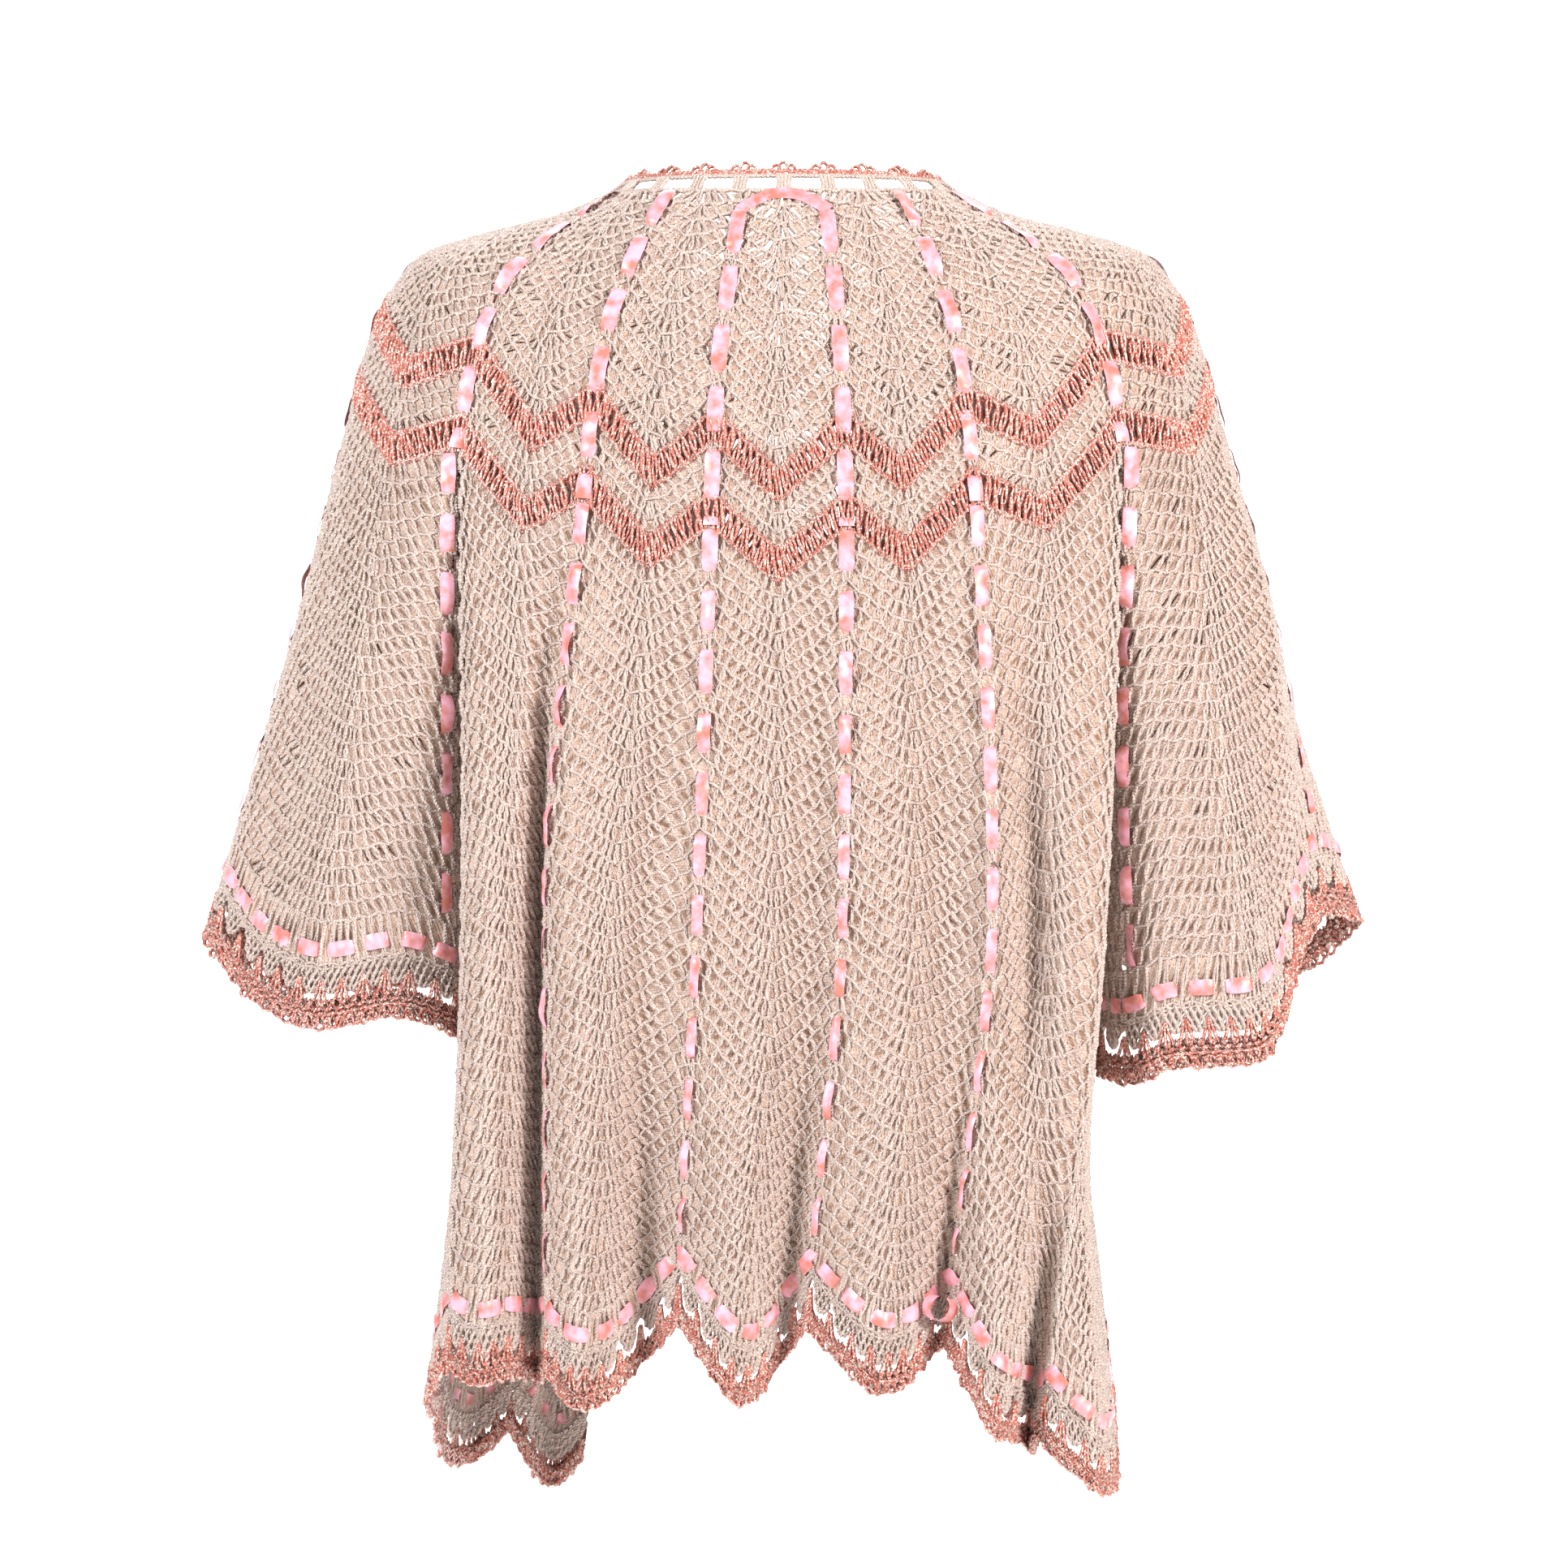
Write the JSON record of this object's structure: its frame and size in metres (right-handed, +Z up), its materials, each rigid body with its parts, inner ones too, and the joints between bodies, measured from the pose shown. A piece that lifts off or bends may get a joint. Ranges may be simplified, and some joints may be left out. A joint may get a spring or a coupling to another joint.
{
  "type": "crochet bed jacket",
  "caption": "Open-fronted crochet bed jacket in its worn form: flared zigzag rows, bell sleeves, woven ribbons and a picot edging.",
  "frame": {"origin": "between the shoulders, at the height of the neck edge at the back, where the wearer's shoulders hold the jacket", "axes": "+Z up, +X to the wearer's left, the wearer's front faces -Y and their back +Y"},
  "size_m": [0.6786, 0.2688, 0.7878],
  "materials": {
    "cream_wool": "soft cream wool crochet, slightly fuzzy",
    "pink_silk": "lustrous pink silk yarn, crocheted",
    "satin_ribbon": "narrow pink satin ribbon"
  },
  "bodies": {
    "root": {"back_panel": "cream_wool", "cuff_picots_left_inner": "pink_silk", "cuff_picots_left_outer": "pink_silk", "cuff_picots_right_inner": "pink_silk", "cuff_picots_right_outer": "pink_silk", "cuff_shells_left_inner": "cream_wool", "cuff_shells_left_outer": "cream_wool", "cuff_shells_right_inner": "cream_wool", "cuff_shells_right_outer": "cream_wool", "front_left": "cream_wool", "front_picots_left": "pink_silk", "front_picots_right": "pink_silk", "front_right": "cream_wool", "gusset_left": "cream_wool", "gusset_right": "cream_wool", "hem_picots": "pink_silk", "hem_shells": "cream_wool", "neck_eyelets": "cream_wool", "neck_picots": "pink_silk", "ribbon_arch": "satin_ribbon", "ribbon_cuff_left": "satin_ribbon", "ribbon_cuff_right": "satin_ribbon", "ribbon_hem": "satin_ribbon", "ribbon_line_1_left": "satin_ribbon", "ribbon_line_1_right": "satin_ribbon", "ribbon_line_2_left": "satin_ribbon", "ribbon_line_2_right": "satin_ribbon", "ribbon_line_3_left": "satin_ribbon", "ribbon_line_3_right": "satin_ribbon", "ribbon_line_4_left": "satin_ribbon", "ribbon_line_4_right": "satin_ribbon", "ribbon_line_5_left": "satin_ribbon", "ribbon_line_5_right": "satin_ribbon", "ribbon_line_6_left": "satin_ribbon", "ribbon_line_6_right": "satin_ribbon", "ribbon_loop": "satin_ribbon", "silk_row_lower": "pink_silk", "silk_row_upper": "pink_silk", "sleeve_left": "cream_wool", "sleeve_right": "cream_wool", "yoke": "cream_wool", "yoke_middle": "cream_wool"}
  },
  "joints": []
}
